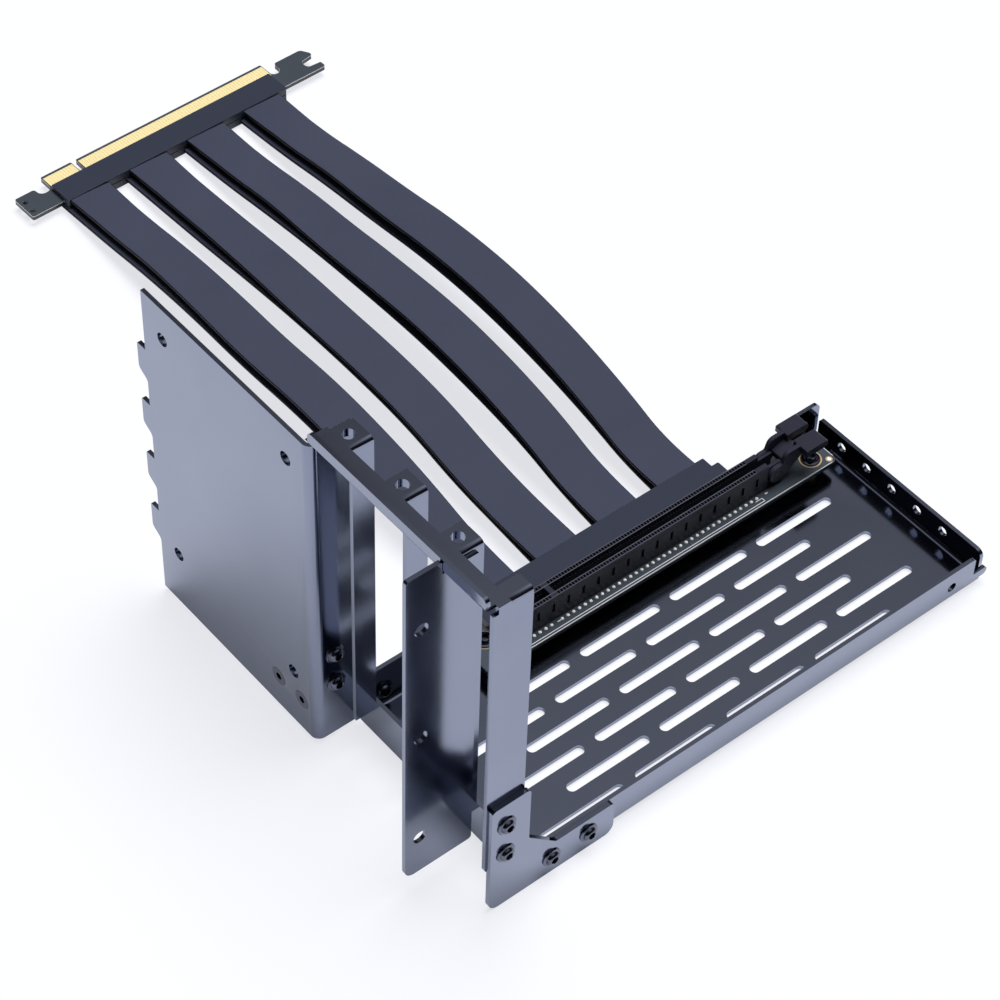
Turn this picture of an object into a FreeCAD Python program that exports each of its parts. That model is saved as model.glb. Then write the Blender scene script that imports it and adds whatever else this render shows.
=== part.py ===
import FreeCAD, Part
import math
import os

from FreeCAD import Vector

# Vertical graphics card mount: a slotted tray, a frame of three expansion slots at its end,
# a rear cover, and a riser board with a card slot that ribbon cables join to an edge connector.
# Millimetres. The origin is the middle of the tray's underside, +X along the tray away from
# the slots, +Y toward the ribbon cables, +Z up.

# Folded sheet
SHEET = 1.2                 # thickness of every folded sheet
BEND = 1.4                  # inner radius of a fold
FOLD = BEND + SHEET         # outer radius of a fold
FIT = 0.1                   # running clearance of a screw in a plain hole

# Tray
TRAY_LENGTH = 164.3
RAIL_HEIGHT = 15.5          # end wall under the slot frame
BACK_HEIGHT = 15.3
BACK_END_GAP = 0.9          # from the back wall's end to the end wall's outer face
FRONT_HEIGHT = 11.7
END_HEIGHT = 9.5
FRONT_STEP = 5.3            # length of the low end of the front wall
FRONT_STEP_HEIGHT = 5.2
WALL_GAP = 1.9              # from a wall's end to the face of the next wall
BACK_OPENING_START = 23.0   # the back wall is cut away here for the ribbon cables
BACK_OPENING_END = 150.0
SLOT_LENGTH = 27.4
SLOT_WIDTH = 3.0
SLOT_PITCH = 31.68
SLOT_ROWS = 6
SLOT_ROW_PITCH = 8.01
SLOT_ROW_START = 6.7        # first row, from the front wall's face
SLOT_ROW_SHIFT = 15.35      # every second row is shifted by this
SLOT_END = 13.9             # last slot's end, from the tray's end face
SLOTS_PER_ROW = 4
END_HOLE_R = 1.5
END_HOLE_PITCH = 10.0
END_HOLES = 5
END_HOLE_HEIGHT = 5.9
END_HOLE_START = 16.1
FRONT_HOLE_FROM_END = 13.6

# Slot frame
FRAME_DEPTH = 13.0          # from the frame's outer face to the tray
FRAME_HEIGHT = 113.7        # top of the shelf
FRAME_FOLD = 1.5            # outer radius of the frame's folds, tighter than the tray's
POST_INSET = 1.3            # from the frame's outer face to the post's edge
RELIEF_WIDTH = 2.9          # cut where the lip, the shelf and the post meet
RELIEF_HEIGHT = 2.2
LIP_RISE = 3.3
LIP_INSET = 1.0
SHELF_STRIP = 6.5           # full-width part of the shelf
TAB_WIDTH = 7.9
TAB_PITCH = 20.32           # expansion slot pitch
FIRST_TAB = 17.6
END_TAB_WIDTH = 5.4
TABS = 3
TAB_HOLE_R = 1.75
TAB_HOLE_DEPTH = 2.6        # sheet and collar together
TAB_HOLE_WALL = 0.8
TAB_HOLE_X = 9.0
TAB_HOLE_Y = 4.5
LAST_TAB_INSET = 1.56       # from the last tab to the tray's back face
TRAY_WIDTH = FIRST_TAB + (TABS - 1) * TAB_PITCH + TAB_WIDTH + LAST_TAB_INSET
DIVIDER_BOTTOM = 13.2
POST_BOTTOM = 15.0

# Rear cover
COVER_REACH = 66.8          # past the tray's back face
COVER_BOTTOM = 1.2
COVER_TOP_GAP = 1.5         # under the shelf
COVER_HOLE_R = 2.0
COVER_HOLE_WALL = 0.8
COVER_HOLE_DEPTH = 2.2
COVER_HOLE_NEAR = 8.15      # first column, past the tray's back face
COVER_HOLE_FAR = 8.25       # second column, from the cover's edge
COVER_HOLE_LOW = 19.9       # lower row, above the cover's bottom
COVER_HOLE_HIGH = 10.7      # upper row, below the cover's top
HOOKS = 4
HOOK_REACH = 3.6
HOOK_FLAT = 7.5
HOOK_TAPER = 4.5
HOOK_PITCH = 19.8
HOOK_DROP = 20.5            # first hook, below the cover's top
COVER_SCREW_Y = (5.0, 14.9)  # past the tray's back face
COVER_SCREW_Z = 12.6

# Flange plate
PLATE_HALF_WIDTH = 10.5
PLATE_BOTTOM = 4.8
PLATE_RISE = 2.8            # outside the frame it stands this far above the shelf
PLATE_CORNER = 3.0
PLATE_HOLE_R = 2.0
PLATE_HOLE_X = 5.9
PLATE_HOLE_PITCH = 39.4
PLATE_HOLE_Z = 58.0
PLATE_GAP = 0.1

# Gussets
GUSSET = 1.5
GUSSET_INSET = 1.8
GUSSET_LENGTH = 29.3        # along the tray
GUSSET_ARM = 11.7
GUSSET_HEIGHT = 40.3
GUSSET_SLOPE = 9.0
GUSSET_CORNER = 3.0
GUSSET_FOOT_LENGTH = 20.0   # along the rear cover's inner face
GUSSET_FOOT_GAP = 0.8       # under the collar of the rear cover's hole
POST_SCREW_X = 6.5
POST_SCREW_Z = (21.0, 32.2)
TRAY_SCREW_X = (8.7, 20.8)  # along the tray, from its face
TRAY_SCREW_Z = 6.3

# Screws
SCREW_R = 1.5
SCREW_TAIL = 0.8            # what stands past the last sheet
HEAD_R = 2.85
HEAD_HEIGHT = 1.6
SOCKET_ACROSS = 2.0
SOCKET_DEPTH = 1.0
SINK_R = 2.7

# Riser board. IN is measured inward from the tray's back face, OUT is measured past it
BOARD = 1.6
BOARD_BOTTOM = 5.0
BOARD_START = 33.5          # from the tray's slot end
BOARD_END = 158.6
BOARD_FRONT_IN = 14.5
BOARD_BACK_IN = 1.5
BOARD_CORNER = 1.6
BOARD_SCREWS = ((39.6, 4.7), (152.6, 9.8))
BOARD_HOLE_R = 1.6
PEG_HOLE = (156.8, 13.0)
PEG_HOLE_R = 0.8
STANDOFF_R = 2.6
PIN = 0.7
PIN_RISE = 0.4
PIN_PITCH = 2.0
PIN_IN = 11.7
SHORT_PINS = 6
SHORT_PIN_START = 46.9
LONG_PINS = 36

# Card slot
SOCKET_START = 44.6         # from the tray's slot end
SOCKET_END = 135.2
SOCKET_FRONT_IN = 10.7
SOCKET_BACK_IN = 4.4
SOCKET_HEIGHT = 9.1
GROOVE = 2.8
GROOVE_FLOOR = 1.6
CONTACT_PITCH = 1.0
CONTACT_NOTCH = 0.55
CONTACT_NOTCH_DEPTH = 1.3
CONTACT_NOTCH_FLOOR = 6.9   # above the board
CONTACT_START = 47.56
SHORT_CONTACTS = 11
KEY_CONTACTS = 2            # the key takes the place of two contacts
LONG_CONTACTS = 71
KEY_START = 58.35
KEY_LENGTH = 1.6
CHAMFER = 0.3
WINDOW_START = 47.3         # narrow recesses along both sides
WINDOW_PITCH = 5.2
WINDOWS = 17
WINDOW_WIDTH = 1.0
WINDOW_LOW = 3.4            # above the board
WINDOW_HIGH = 6.7
WINDOW_DEPTH = 0.6
NECK_WIDTH = 4.7
NECK_LENGTH = 5.3
NECK_HEIGHT = 7.4

# Slot latch
PIVOT_X = 138.2
PIVOT_Z = 4.6               # above the board
PIVOT_R = 1.2
PIVOT_GAP = 0.15
LATCH_GAP = 0.25
LATCH_ARM = 1.3
LATCH_BOSS_R = 2.75
WEB_START = 141.4
WEB_END = 147.4
WING_END = 153.9
WING_TOP = 10.9             # above the board
WING = 2.4
NEAR_WING_IN = (14.3, 8.8)
FAR_WING_IN = (6.2, 1.4)

# Riser cover
CAP_START = 43.0
CAP_END = 127.6
CAP_BLOCK = 2.4             # the end block stands out by this
CAP_BLOCK_OUT = 3.8
CAP_FRONT_IN = 4.2
CAP_OUT = 7.5
CAP_TOP = 9.0
CAP_BOTTOM = 2.4
CAP_SPLIT = 5.8
CAP_EDGE = 0.5

# Ribbon cables
RIBBON_WIDTH = 14.3
RIBBON = 1.0
RIBBON_PITCH = 21.75
RIBBON_FIRST = 46.05        # first ribbon's start edge, from the tray's slot end
RIBBON_DRIFT = 3.6          # sideways shift over the length
RIBBON_INSIDE = 2.0         # each route starts this far inside the riser cover
RIBBON_UPPER_Z = 7.2
RIBBON_LOWER_Z = 4.3
FAR_UPPER_Z = 4.0
FAR_LOWER_Z = 1.2
RIBBON_REACH = 210.3        # each route's end, past the tray's back face

# Far edge connector, drawn from its own corner: x along the contacts, y toward their tips
FAR_TURN = 1.5              # degrees, seen from above
FAR_START = 87.0            # from the tray's slot end
FAR_OUT = 202.3             # past the tray's back face
EDGE_BOARD_BOTTOM = 1.8
EDGE_COVER_START = -36.6
EDGE_COVER_END = 46.6
EDGE_COVER_FRONT = 5.4
EDGE_COVER_BACK = 14.6
EDGE_COVER_TOP = 5.2
EDGE_SPLIT = 2.6
EDGE_FRONT = 8.0
EDGE_BACK = 21.1
FINGER_FIRST = -35.8
FINGER_START = 14.9
FINGER_END = 20.1
FINGER = 0.12
FINGER_GAP = 0.35
FINGER_MARGIN = 0.3         # board past the first and the last finger
NOTCH_INSET = 0.1           # the notches end this far inside the cover's back face
LEFT_NOTCH = 4.5
LEFT_EAR = 7.2
LEFT_EAR_BACK = 17.8
EAR_HOLES = ((1.8, 14.7), (1.5, 10.3))   # from the left ear's end
EAR_HOLE_R = 0.9
RIGHT_NOTCH = 3.7
RIGHT_EAR = 12.2
RIGHT_EAR_BACK = 19.0
EAR_LOBE = 16.1
EAR_SLOT = 5.0              # depth of the open slot in the right ear
EAR_SLOT_FRONT = 10.8
EAR_SLOT_BACK = 14.3


# Places that the pieces share
x0 = -TRAY_LENGTH / 2
x1 = TRAY_LENGTH / 2
y0 = -TRAY_WIDTH / 2
y1 = TRAY_WIDTH / 2
frame_x = x0 - FRAME_DEPTH
shelf_bottom = FRAME_HEIGHT - SHEET
cover_top = shelf_bottom - COVER_TOP_GAP
board_top = BOARD_BOTTOM + BOARD


def place(plane, a, b, height):
    """A point of a drawing: XY is seen from above, XZ from the front, YZ from the end."""
    if plane == "XY":
        return Vector(a, b, height)
    if plane == "XZ":
        return Vector(a, height, b)
    return Vector(height, a, b)


def slab(plane, points, start, thickness):
    """A closed outline with rounded corners (a, b, radius) drawn at start and thickened."""
    edges = []
    ends = []
    count = len(points)
    for i, point in enumerate(points):
        here = Vector(point[0], point[1], 0)
        radius = point[2] if len(point) > 2 else 0
        before = Vector(points[i - 1][0], points[i - 1][1], 0) - here
        after = Vector(points[(i + 1) % count][0], points[(i + 1) % count][1], 0) - here
        before.normalize()
        after.normalize()
        if radius:
            half = before.getAngle(after) / 2
            reach = radius / math.tan(half)
            middle = before + after
            middle.normalize()
            centre = here + middle * (radius / math.sin(half))
            ends.append((here + before * reach, centre - middle * radius, here + after * reach))
        else:
            ends.append((here, None, here))

    def at(p):
        return place(plane, p.x, p.y, start)

    for i, (first, middle, last) in enumerate(ends):
        if middle:
            edges.append(Part.Arc(at(first), at(middle), at(last)).toShape())
        following = ends[(i + 1) % count][0]
        if last.distanceToPoint(following) > 1e-6:
            edges.append(Part.LineSegment(at(last), at(following)).toShape())
    return Part.Face(Part.Wire(edges)).extrude(place(plane, 0, 0, thickness))


def box(a, b):
    """A box from its low corner to its high corner."""
    return Part.makeBox(b[0] - a[0], b[1] - a[1], b[2] - a[2], Vector(*a))


def rod(radius, start, end):
    """A cylinder between two points."""
    start = Vector(*start)
    along = Vector(*end) - start
    return Part.makeCylinder(radius, along.Length, start, along)


def fold(plane, points, start, width, side, sheet=SHEET, radius=FOLD):
    """A folded sheet: points follow its outer face, with the sheet on that side of them
    (1 is left, -1 is right), and radius is the outer one of its folds."""
    inner = []
    outer = []
    for i, point in enumerate(points):
        here = Vector(point[0], point[1], 0)
        offset = Vector(0, 0, 0)
        for other in (i - 1, i + 1):
            if 0 <= other < len(points):
                to = Vector(points[other][0], points[other][1], 0) - here
                along = to if other > i else to * -1
                along.normalize()
                offset += Vector(-along.y, along.x, 0) * sheet * side
        bent = 0 < i < len(points) - 1
        outer.append((here.x, here.y, radius if bent else 0))
        inner.append((here.x + offset.x, here.y + offset.y, radius - sheet if bent else 0))
    return slab(plane, outer + inner[::-1], start, width)


def button_screw(head_face, grip):
    """A button head screw that points along +Y, its head seated on head_face."""
    x, y, z = head_face
    profile = [
        Vector(0, y - HEAD_HEIGHT, 0),
        Vector(HEAD_R * 0.55, y - HEAD_HEIGHT, 0),
        Vector(HEAD_R * 0.9, y - HEAD_HEIGHT * 0.6, 0),
        Vector(HEAD_R, y - HEAD_HEIGHT * 0.15, 0),
        Vector(HEAD_R, y, 0),
        Vector(SCREW_R, y, 0),
        Vector(SCREW_R, y + grip + SCREW_TAIL, 0),
        Vector(0, y + grip + SCREW_TAIL, 0),
    ]
    outline = Part.Face(Part.makePolygon(profile + profile[:1]))
    screw = outline.revolve(Vector(0, 0, 0), Vector(0, 1, 0), 360)
    corner = SOCKET_ACROSS / math.sqrt(3)
    hexagon = []
    for i in range(6):
        turn = math.radians(60 * i)
        hexagon.append((corner * math.cos(turn), corner * math.sin(turn)))
    screw = screw.cut(slab("XZ", hexagon, y - HEAD_HEIGHT, SOCKET_DEPTH))
    screw.translate(Vector(x, 0, z))
    return screw


def save(name, shape):
    shape.exportStep("parts/" + name + ".step")
    print(name, len(shape.Solids), round(shape.Volume, 1))


os.makedirs("parts", exist_ok=True)


# Gusset screws stand in the post and in the tray's walls
post_screws = [(frame_x + POST_SCREW_X, z) for z in POST_SCREW_Z]
tray_screws = [(x0 + x, TRAY_SCREW_Z) for x in TRAY_SCREW_X]
front_screws = post_screws + tray_screws
gusset_holes = []
for x, z in front_screws:
    gusset_holes.append(rod(SCREW_R + FIT, (x, y0 - GUSSET - 1, z), (x, y0 + SHEET + 1, z)))
    gusset_holes.append(rod(SCREW_R + FIT, (x, y1 - SHEET - 1, z), (x, y1 + GUSSET + 1, z)))


# Tray: two folded channels that share one floor, with each wall drawn to its own outline
long_channel = fold(
    "YZ", [(y0, FOLD), (y0, 0), (y1, 0), (y1, FOLD)], x0 + FOLD, TRAY_LENGTH - 2 * FOLD, 1
)
cross_channel = fold(
    "XZ", [(x0, FOLD), (x0, 0), (x1, 0), (x1, FOLD)], y0 + FOLD, TRAY_WIDTH - 2 * FOLD, 1
)
front_wall = slab("XZ", [
    (x0 + SHEET + FIT, FOLD),
    (x1, FOLD, 1.5),
    (x1, FRONT_STEP_HEIGHT, 1.0),
    (x1 - FRONT_STEP, FRONT_STEP_HEIGHT, 0.5),
    (x1 - FRONT_STEP, FRONT_HEIGHT, 1.0),
    (x0 + SHEET + FIT, FRONT_HEIGHT),
], y0, SHEET)
back_wall = slab("XZ", [
    (x0 + SHEET + FIT, FOLD),
    (x1 - BACK_END_GAP, FOLD),
    (x1 - BACK_END_GAP, BACK_HEIGHT, 2.0),
    (x0 + SHEET + FIT, BACK_HEIGHT),
], y1 - SHEET, SHEET)
rail = slab("YZ", [
    (y0 + WALL_GAP, FOLD),
    (y1 - WALL_GAP, FOLD),
    (y1 - WALL_GAP, RAIL_HEIGHT, 1.0),
    (y0 + WALL_GAP, RAIL_HEIGHT, 1.0),
], x0, SHEET)
end_wall = slab("YZ", [
    (y0 + WALL_GAP, FOLD),
    (y1 - WALL_GAP, FOLD),
    (y1 - WALL_GAP, END_HEIGHT, 1.0),
    (y0 + WALL_GAP, END_HEIGHT, 2.2),
], x1 - SHEET, SHEET)
tray = long_channel.multiFuse([cross_channel, front_wall, back_wall, rail, end_wall])
opening = box(
    (x0 + BACK_OPENING_START, y1 - FOLD, -1),
    (x0 + BACK_OPENING_END, y1 + 1, BACK_HEIGHT + 1),
)
slots = []
for row in range(SLOT_ROWS):
    y = y0 + SLOT_ROW_START + row * SLOT_ROW_PITCH
    shift = SLOT_ROW_SHIFT if row % 2 == 0 else 0
    for i in range(SLOTS_PER_ROW):
        end = x1 - SLOT_END - shift - i * SLOT_PITCH
        start = end - SLOT_LENGTH
        half = SLOT_WIDTH / 2
        slots.append(slab("XY", [
            (start, y - half, half),
            (end, y - half, half),
            (end, y + half, half),
            (start, y + half, half),
        ], -1, SHEET + 2))
wall_holes = []
for i in range(END_HOLES):
    y = y0 + END_HOLE_START + i * END_HOLE_PITCH
    wall_holes.append(rod(END_HOLE_R, (x1 - SHEET - 1, y, END_HOLE_HEIGHT), (x1 + 1, y, END_HOLE_HEIGHT)))
front_hole_x = x1 - FRONT_HOLE_FROM_END
wall_holes.append(rod(
    END_HOLE_R,
    (front_hole_x, y0 - 1, END_HOLE_HEIGHT),
    (front_hole_x, y0 + SHEET + 1, END_HOLE_HEIGHT),
))
tray = tray.cut([opening] + slots + wall_holes + gusset_holes).removeSplitter()
save("tray", tray)


# Slot frame: shelf, upturned lip, tabs with dividers folded down, and the front post
lip_and_shelf = fold("XZ", [
    (frame_x, FRAME_HEIGHT + LIP_RISE),
    (frame_x, shelf_bottom),
    (frame_x + SHELF_STRIP, shelf_bottom),
], y0, TRAY_WIDTH, 1, SHEET, FRAME_FOLD)
lip_trim = slab("YZ", [
    (y0 - 1, FRAME_HEIGHT),
    (y0 + LIP_INSET, FRAME_HEIGHT),
    (y0 + LIP_INSET, FRAME_HEIGHT + LIP_RISE, 1.5),
    (y1 - LIP_INSET, FRAME_HEIGHT + LIP_RISE, 1.5),
    (y1 - LIP_INSET, FRAME_HEIGHT),
    (y1 + 1, FRAME_HEIGHT),
    (y1 + 1, FRAME_HEIGHT + LIP_RISE + 1),
    (y0 - 1, FRAME_HEIGHT + LIP_RISE + 1),
], frame_x - 1, SHEET + 2)
post_x = frame_x + POST_INSET
post = fold("YZ", [
    (y0, POST_BOTTOM),
    (y0, FRAME_HEIGHT),
    (y0 + END_TAB_WIDTH, FRAME_HEIGHT),
], post_x, FRAME_DEPTH - POST_INSET, -1, SHEET, FRAME_FOLD)
folds = [post]
tab_holes = []
for i in range(TABS):
    y = y0 + FIRST_TAB + i * TAB_PITCH
    folds.append(fold("YZ", [
        (y, DIVIDER_BOTTOM),
        (y, FRAME_HEIGHT),
        (y + TAB_WIDTH, FRAME_HEIGHT),
    ], frame_x + SHELF_STRIP, FRAME_DEPTH - SHELF_STRIP, -1, SHEET, FRAME_FOLD))
    hole = (frame_x + TAB_HOLE_X, y + TAB_HOLE_Y, FRAME_HEIGHT - TAB_HOLE_DEPTH)
    top = (hole[0], hole[1], FRAME_HEIGHT)
    folds.append(rod(TAB_HOLE_R + TAB_HOLE_WALL, hole, top))
    tab_holes.append(rod(TAB_HOLE_R, (hole[0], hole[1], hole[2] - 1), (top[0], top[1], top[2] + 1)))
post_corner = box(
    (post_x - 1, y0 - 1, POST_BOTTOM - 1),
    (post_x + BEND, y0 + SHEET + 1, POST_BOTTOM + BEND),
)
post_round = rod(
    BEND,
    (post_x + BEND, y0 - 1, POST_BOTTOM + BEND),
    (post_x + BEND, y0 + SHEET + 1, POST_BOTTOM + BEND),
)
relief = box(
    (frame_x - 1, y0 - 1, FRAME_HEIGHT - RELIEF_HEIGHT),
    (frame_x + RELIEF_WIDTH, y0 + FRAME_FOLD, FRAME_HEIGHT + 1),
)
slot_frame = lip_and_shelf.cut(lip_trim).multiFuse(folds)
slot_frame = slot_frame.cut(tab_holes + gusset_holes + [post_corner.cut(post_round), relief])
slot_frame = slot_frame.removeSplitter()
save("slot_frame", slot_frame)


# Rear cover: a flat plate with a fold that closes the slot frame and four hooks on its edge
cover = fold("XY", [
    (frame_x, y1 + COVER_REACH),
    (frame_x, y1 - SHEET),
    (frame_x + FRAME_DEPTH, y1 - SHEET),
], COVER_BOTTOM, cover_top - COVER_BOTTOM, 1)
upper_fold = box(
    (frame_x + FOLD, y1 - SHEET, cover_top), (frame_x + FRAME_DEPTH, y1, shelf_bottom)
)
cover_edge = y1 + COVER_REACH
hooks = []
for i in range(HOOKS):
    z = cover_top - HOOK_DROP - i * HOOK_PITCH
    hooks.append(slab("YZ", [
        (cover_edge - 1, z),
        (cover_edge + HOOK_REACH, z, 0.4),
        (cover_edge + HOOK_REACH, z - HOOK_FLAT - HOOK_TAPER * 0.25, 1.8),
        (cover_edge, z - HOOK_FLAT - HOOK_TAPER * 0.75, 1.8),
        (cover_edge, z - HOOK_FLAT - HOOK_TAPER * 1.4),
        (cover_edge - 1, z - HOOK_FLAT - HOOK_TAPER * 1.4),
    ], frame_x, SHEET))
cover_holes = []
low_hole = COVER_BOTTOM + COVER_HOLE_LOW
for y in (y1 + COVER_HOLE_NEAR, cover_edge - COVER_HOLE_FAR):
    for z in (low_hole, cover_top - COVER_HOLE_HIGH):
        collar_end = (frame_x + COVER_HOLE_DEPTH, y, z)
        hooks.append(rod(COVER_HOLE_R + COVER_HOLE_WALL, (frame_x, y, z), collar_end))
        cover_holes.append(rod(COVER_HOLE_R, (frame_x - 1, y, z), (frame_x + COVER_HOLE_DEPTH + 1, y, z)))
sink_depth = SINK_R - SCREW_R
for y in COVER_SCREW_Y:
    face = Vector(frame_x, y1 + y, COVER_SCREW_Z)
    cover_holes.append(Part.makeCone(SINK_R + FIT, SCREW_R + FIT, sink_depth, face, Vector(1, 0, 0)))
    cover_holes.append(rod(SCREW_R + FIT, (frame_x - 1, face.y, face.z), (frame_x + 5, face.y, face.z)))
cover = cover.multiFuse([upper_fold] + hooks).cut(cover_holes + gusset_holes).removeSplitter()
save("rear_cover", cover)


# Flange plate: flat against the first divider, tucked under the shelf, proud outside the lip
plate_y = y0 + FIRST_TAB - SHEET
flange_plate = slab("XZ", [
    (frame_x - PLATE_HALF_WIDTH, PLATE_BOTTOM, PLATE_CORNER),
    (frame_x + PLATE_HALF_WIDTH, PLATE_BOTTOM, 1.0),
    (frame_x + PLATE_HALF_WIDTH, shelf_bottom - PLATE_GAP),
    (frame_x - PLATE_GAP, shelf_bottom - PLATE_GAP),
    (frame_x - PLATE_GAP, FRAME_HEIGHT + PLATE_RISE, 0.6),
    (frame_x - PLATE_HALF_WIDTH, FRAME_HEIGHT + PLATE_RISE, 1.0),
], plate_y, SHEET)
plate_holes = []
for i in (-1, 0, 1):
    z = PLATE_HOLE_Z + i * PLATE_HOLE_PITCH
    x = frame_x - PLATE_HOLE_X
    plate_holes.append(rod(PLATE_HOLE_R, (x, plate_y - 1, z), (x, plate_y + SHEET + 1, z)))
flange_plate = flange_plate.cut(plate_holes)
save("flange_plate", flange_plate)


# Gussets: the rear one is folded, with a foot against the rear cover's inner face
def gusset_plate(face, left):
    right = x0 + GUSSET_LENGTH
    return slab("XZ", [
        (left, 0, GUSSET_CORNER),
        (right, 0, GUSSET_CORNER),
        (right, GUSSET_ARM, 1.5),
        (x0 + GUSSET_SLOPE + 1, GUSSET_ARM, 1.5),
        (x0 + 1, GUSSET_ARM + GUSSET_SLOPE, 1.5),
        (x0 + 1, GUSSET_HEIGHT, 1.5),
        (left, GUSSET_HEIGHT, 1.5),
    ], face, GUSSET)


front_gusset = gusset_plate(y0 - GUSSET, frame_x + GUSSET_INSET).cut(gusset_holes)
save("front_gusset", front_gusset)

foot_face = frame_x + SHEET
foot_top = low_hole - COVER_HOLE_R - COVER_HOLE_WALL - GUSSET_FOOT_GAP
foot = fold("XY", [
    (foot_face + 2 * FOLD, y1),
    (foot_face, y1),
    (foot_face, y1 + GUSSET_FOOT_LENGTH),
], GUSSET_CORNER, foot_top - GUSSET_CORNER, -1, GUSSET)
foot_outline = slab("YZ", [
    (y1 - 1, GUSSET_CORNER - 1),
    (y1 + GUSSET_FOOT_LENGTH, GUSSET_CORNER - 1, 2.0),
    (y1 + GUSSET_FOOT_LENGTH, foot_top, 2.0),
    (y1 - 1, foot_top),
], frame_x, FRAME_DEPTH)
foot_holes = []
for y in COVER_SCREW_Y:
    centre = (frame_x, y1 + y, COVER_SCREW_Z)
    foot_holes.append(rod(SCREW_R + FIT, centre, (frame_x + 5, centre[1], centre[2])))
rear_plate = gusset_plate(y1, frame_x + FOLD + FIT)
rear_gusset = rear_plate.cut(box(
    (frame_x, y1 - 1, GUSSET_CORNER), (foot_face + FOLD, y1 + GUSSET + 1, foot_top)
))
rear_gusset = rear_gusset.fuse(foot.common(foot_outline)).cut(gusset_holes + foot_holes).removeSplitter()
save("rear_gusset", rear_gusset)


# Screws: button heads on the gussets, sunk heads in the rear cover
front_set = []
rear_set = []
for x, z in front_screws:
    front_set.append(button_screw((x, y0 - GUSSET, z), GUSSET + SHEET))
    rear_set.append(button_screw((x, y1 - SHEET, z), SHEET + GUSSET))
save("front_gusset_screws", Part.makeCompound(front_set))
save("rear_gusset_screws", Part.makeCompound(rear_set))

cover_set = []
for y in COVER_SCREW_Y:
    face = Vector(frame_x, y1 + y, COVER_SCREW_Z)
    head = Part.makeCone(SINK_R, SCREW_R, sink_depth, face, Vector(1, 0, 0))
    length = SHEET + GUSSET + SCREW_TAIL
    screw = head.fuse(rod(SCREW_R, (face.x, face.y, face.z), (face.x + length, face.y, face.z)))
    corner = SOCKET_ACROSS / math.sqrt(3)
    hexagon = []
    for i in range(6):
        turn = math.radians(60 * i)
        hexagon.append((face.y + corner * math.cos(turn), face.z + corner * math.sin(turn)))
    cover_set.append(screw.cut(slab("YZ", hexagon, face.x, SOCKET_DEPTH)).removeSplitter())
save("cover_screws", Part.makeCompound(cover_set))


# Riser board on its standoffs
board_screws = [(x0 + x, y1 - inward) for x, inward in BOARD_SCREWS]
board = slab("XY", [
    (x0 + BOARD_START, y1 - BOARD_FRONT_IN, 1.0),
    (x0 + BOARD_END, y1 - BOARD_FRONT_IN, BOARD_CORNER),
    (x0 + BOARD_END, y1 - BOARD_BACK_IN, 1.0),
    (x0 + BOARD_START, y1 - BOARD_BACK_IN, 1.0),
], BOARD_BOTTOM, BOARD)
board_holes = []
standoffs = []
screws = []
for x, y in board_screws:
    board_holes.append(rod(BOARD_HOLE_R, (x, y, BOARD_BOTTOM - 1), (x, y, board_top + 1)))
    standoff = rod(STANDOFF_R, (x, y, SHEET), (x, y, BOARD_BOTTOM))
    standoffs.append(standoff.cut(rod(SCREW_R, (x, y, SHEET + 1), (x, y, BOARD_BOTTOM))))
    screw = button_screw((0, 0, 0), BOARD + 1)
    screw.rotate(Vector(0, 0, 0), Vector(1, 0, 0), -90)
    screw.translate(Vector(x, y, board_top))
    screws.append(screw)
peg_x = x0 + PEG_HOLE[0]
peg_y = y1 - PEG_HOLE[1]
board_holes.append(rod(PEG_HOLE_R, (peg_x, peg_y, BOARD_BOTTOM - 1), (peg_x, peg_y, board_top + 1)))
board = board.cut(board_holes)
save("riser_board", board)
save("board_standoffs", Part.makeCompound(standoffs))
save("board_screws", Part.makeCompound(screws))

long_start = CONTACT_START + (SHORT_CONTACTS + KEY_CONTACTS) * CONTACT_PITCH
pins = []
for start, count in ((SHORT_PIN_START, SHORT_PINS), (long_start, LONG_PINS)):
    for i in range(count):
        x = x0 + start + i * PIN_PITCH - PIN / 2
        y = y1 - PIN_IN - PIN / 2
        pins.append(box((x, y, board_top), (x + PIN, y + PIN, board_top + PIN_RISE)))
save("slot_pins", Part.makeCompound(pins))


# Card slot: a moulded housing with a key, contact notches, side windows and a latch neck
socket_front = y1 - SOCKET_FRONT_IN
socket_back = y1 - SOCKET_BACK_IN
socket_mid = (socket_front + socket_back) / 2
socket_top = board_top + SOCKET_HEIGHT
housing = box(
    (x0 + SOCKET_START, socket_front, board_top),
    (x0 + SOCKET_END, socket_back, socket_top),
)
neck_start = x0 + SOCKET_END
neck_end = neck_start + NECK_LENGTH
neck = box(
    (neck_start, socket_mid - NECK_WIDTH / 2, board_top),
    (neck_end, socket_mid + NECK_WIDTH / 2, board_top + NECK_HEIGHT),
)
pivot_x = x0 + PIVOT_X
pivot_z = board_top + PIVOT_Z
arm_inner = NECK_WIDTH / 2 + LATCH_GAP
arm_outer = arm_inner + LATCH_ARM
pivot = rod(PIVOT_R, (pivot_x, socket_mid - arm_outer, pivot_z), (pivot_x, socket_mid + arm_outer, pivot_z))
cuts = []
groove_floor = board_top + GROOVE_FLOOR
for start, end in ((SOCKET_START + 1.5, KEY_START), (KEY_START + KEY_LENGTH, SOCKET_END + NECK_LENGTH + 1)):
    cuts.append(box(
        (x0 + start, socket_mid - GROOVE / 2, groove_floor),
        (x0 + end, socket_mid + GROOVE / 2, socket_top + 1),
    ))
notch_reach = GROOVE / 2 + CONTACT_NOTCH_DEPTH
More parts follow.
